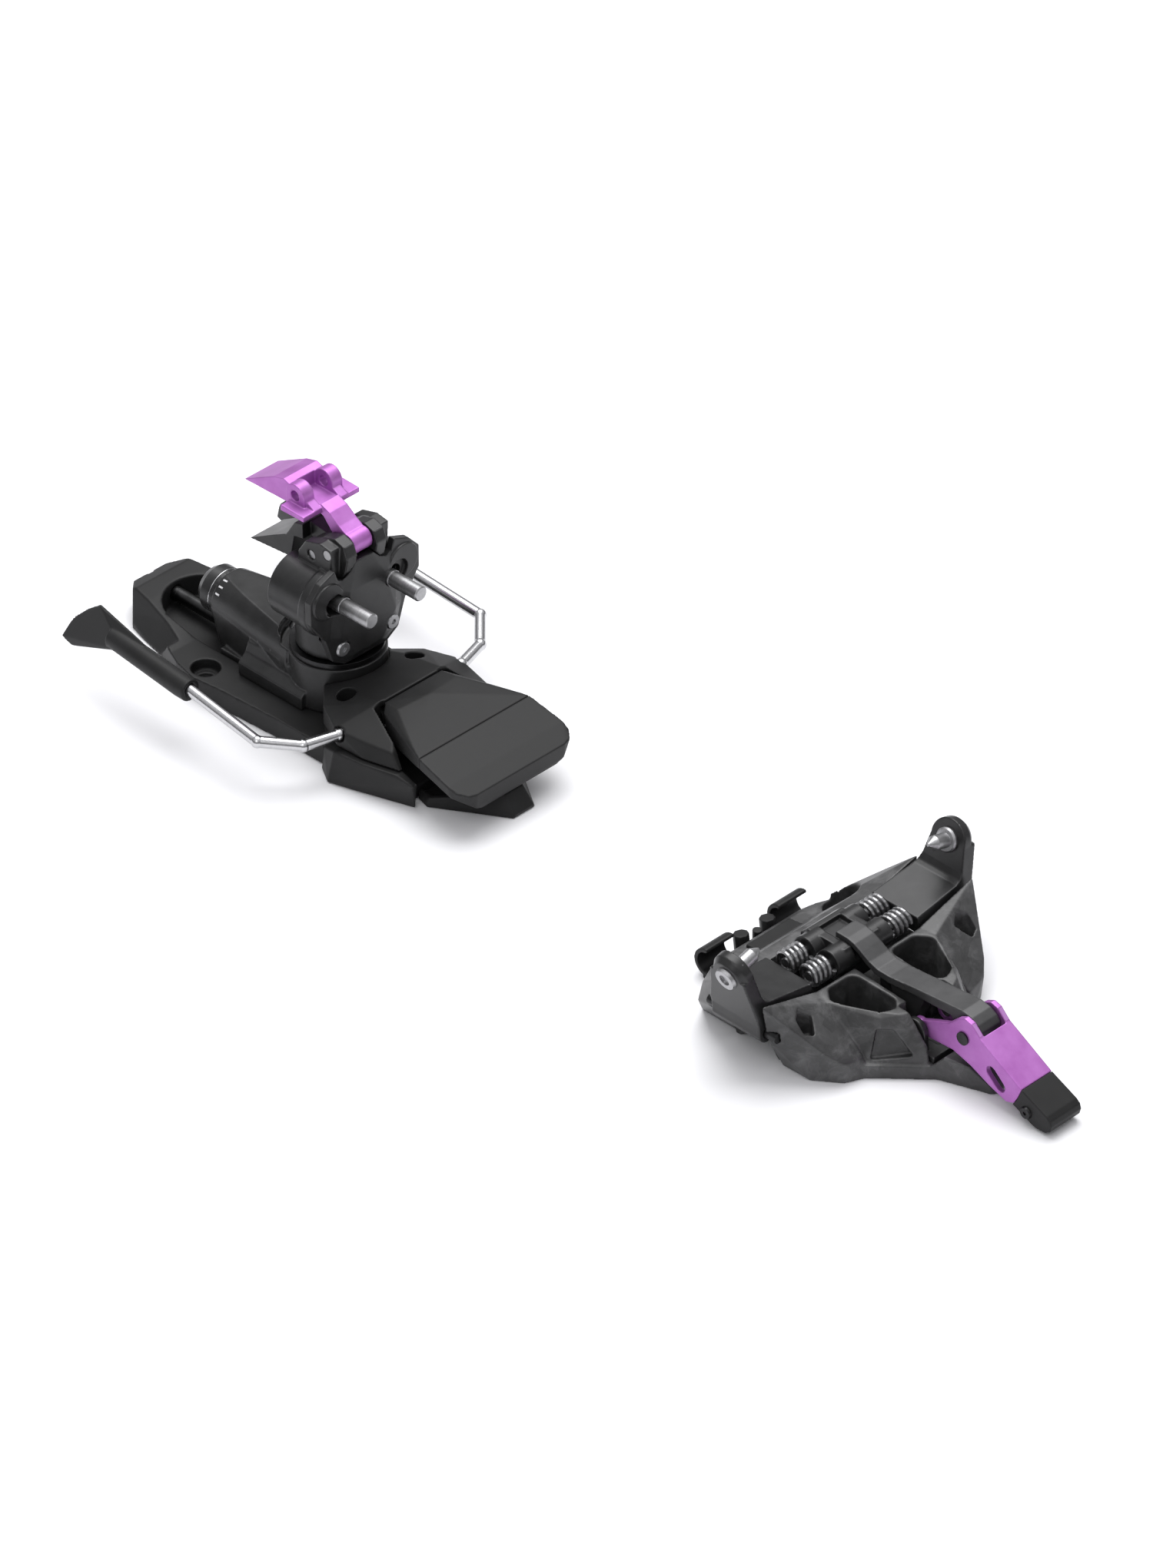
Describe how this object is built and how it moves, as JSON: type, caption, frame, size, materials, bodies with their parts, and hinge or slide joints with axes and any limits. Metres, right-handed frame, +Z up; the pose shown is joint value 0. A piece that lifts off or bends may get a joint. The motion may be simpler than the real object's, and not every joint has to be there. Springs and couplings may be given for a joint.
{
  "type": "touring binding",
  "caption": "Pin touring binding with a sprung two-wing toe unit, a turning heel tower with two risers and a ski brake.",
  "frame": {"origin": "on the ski's top face, on its centre line, under the line of the open toe pins", "axes": "+X along the ski towards its tip, +Y to the skier's left, +Z up from the ski"},
  "size_m": [0.414, 0.1094, 0.0866],
  "materials": {
    "forged_carbon": "satin forged carbon with marbled grey flakes",
    "black_alloy": "satin black anodised",
    "black_plastic": "fine grained charcoal black",
    "violet_alloy": "satin violet anodised",
    "grey_alloy": "bead blasted dark grey anodised",
    "steel": "brushed",
    "spring_steel": "polished dark spring wire",
    "black_steel": "blackened",
    "bright_wire": "polished"
  },
  "bodies": {
    "base": {"toe_base": "forged_carbon", "toe_label_plate": "black_plastic", "crampon_receiver": "black_plastic", "left_wing_axle": "black_steel", "right_wing_axle": "black_steel", "rocker_axle": "steel", "lever_bracket": "black_alloy", "lever_axle": "steel", "heel_base": "black_plastic", "brake_cover": "black_plastic", "brake_skirt": "black_plastic", "front_plate": "black_plastic"},
    "left_jaw": {"left_wing": "black_alloy", "left_toe_pin": "steel", "left_pin_screw": "steel"},
    "right_jaw": {"right_wing": "black_alloy", "right_toe_pin": "steel", "right_pin_screw": "steel"},
    "carrier": {"spring_carrier": "black_alloy", "spring_rods": "steel", "left_toe_springs": "spring_steel", "right_toe_springs": "spring_steel"},
    "rocker": {"rocker_bar": "grey_alloy"},
    "lever": {"toe_lever": "violet_alloy", "lever_link_pin": "black_steel", "lever_tip": "black_plastic", "tip_screws": "black_steel"},
    "screw": {"adjust_screw": "black_steel"},
    "carriage": {"heel_carriage": "black_alloy", "turret_ring": "black_steel", "release_spring": "spring_steel", "spring_nut": "steel", "plunger": "steel"},
    "knob": {"release_knob": "black_alloy"},
    "tower": {"turret_post": "steel", "tower_body": "black_alloy", "tower_plate": "black_alloy", "plate_screws": "steel", "pin_spring": "spring_steel", "upper_riser_axle": "steel", "lower_riser_axle": "steel"},
    "left_pin": {"left_heel_pin": "steel"},
    "right_pin": {"right_heel_pin": "steel"},
    "top_riser": {"upper_riser": "violet_alloy"},
    "low_riser": {"lower_riser": "black_alloy"},
    "brake": {"brake_pedal": "black_plastic", "brake_pad": "black_plastic", "left_brake_arm": "bright_wire", "right_brake_arm": "bright_wire", "left_brake_foot": "black_plastic", "right_brake_foot": "black_plastic", "brake_spring": "spring_steel"}
  },
  "joints": [
    {"name": "lever_turn", "type": "hinge", "parent": "base", "child": "lever", "pos_m": [0.0396, 0, 0.0135], "axis": [0, -1, 0], "range_deg": [0, 27.3]},
    {"name": "rocker_turn", "type": "hinge", "parent": "base", "child": "rocker", "pos_m": [0.029, 0, 0.0071], "axis": [0, -1, 0], "range_deg": [0, 16.7]},
    {"name": "carrier_slide", "type": "slide", "parent": "base", "child": "carrier", "axis": [0, 0, -1], "range_m": [0, 0.0081]},
    {"name": "left_wing_turn", "type": "hinge", "parent": "base", "child": "left_jaw", "pos_m": [0, 0.044, 0.016], "axis": [1, 0, 0], "range_deg": [0, 20.1]},
    {"name": "right_wing_turn", "type": "hinge", "parent": "base", "child": "right_jaw", "pos_m": [0, -0.044, 0.016], "axis": [-1, 0, 0], "range_deg": [0, 20.1]},
    {"name": "length_adjustment", "type": "slide", "parent": "base", "child": "carriage", "axis": [-1, 0, 0], "range_m": [0, 0.012]},
    {"name": "adjusting_screw_turn", "type": "hinge", "parent": "base", "child": "screw", "pos_m": [-0.308, 0, 0.007], "axis": [1, 0, 0], "range_deg": [0, 3460]},
    {"name": "release_knob_turn", "type": "hinge", "parent": "carriage", "child": "knob", "pos_m": [-0.283, 0, 0.0195], "axis": [1, 0, 0], "range_deg": [0, 720]},
    {"name": "tower_turn", "type": "hinge", "parent": "carriage", "child": "tower", "pos_m": [-0.228, 0, 0.03], "axis": [0, 0, 1], "range_deg": [-90, 90]},
    {"name": "left_pin_spread", "type": "slide", "parent": "tower", "child": "left_pin", "axis": [0, 1, 0], "range_m": [0, 0.0025], "stiffness_N_per_m": 9000},
    {"name": "right_pin_spread", "type": "slide", "parent": "tower", "child": "right_pin", "axis": [0, -1, 0], "range_m": [0, 0.0025], "stiffness_N_per_m": 9000},
    {"name": "upper_riser_fold", "type": "hinge", "parent": "tower", "child": "top_riser", "pos_m": [-0.2186, 0, 0.07], "axis": [0, 1, 0], "range_deg": [0, 150]},
    {"name": "lower_riser_fold", "type": "hinge", "parent": "tower", "child": "low_riser", "pos_m": [-0.226, 0, 0.0668], "axis": [0, 1, 0], "range_deg": [0, 84]},
    {"name": "brake_turn", "type": "hinge", "parent": "base", "child": "brake", "pos_m": [-0.1987, 0, 0.0167], "axis": [0, -1, 0], "range_deg": [0, 45]}
  ],
  "couplings": [
    {"joint": "rocker_turn", "follows": "lever_turn", "ratio": 0.608},
    {"joint": "carrier_slide", "follows": "lever_turn", "m_per_rad": 0.01679},
    {"joint": "left_wing_turn", "follows": "lever_turn", "ratio": 0.7326},
    {"joint": "right_wing_turn", "follows": "lever_turn", "ratio": 0.7326},
    {"joint": "adjusting_screw_turn", "follows": "length_adjustment", "rad_per_m": 5026.6},
    {"joint": "lower_riser_fold", "follows": "upper_riser_fold", "ratio": 0.55}
  ]
}
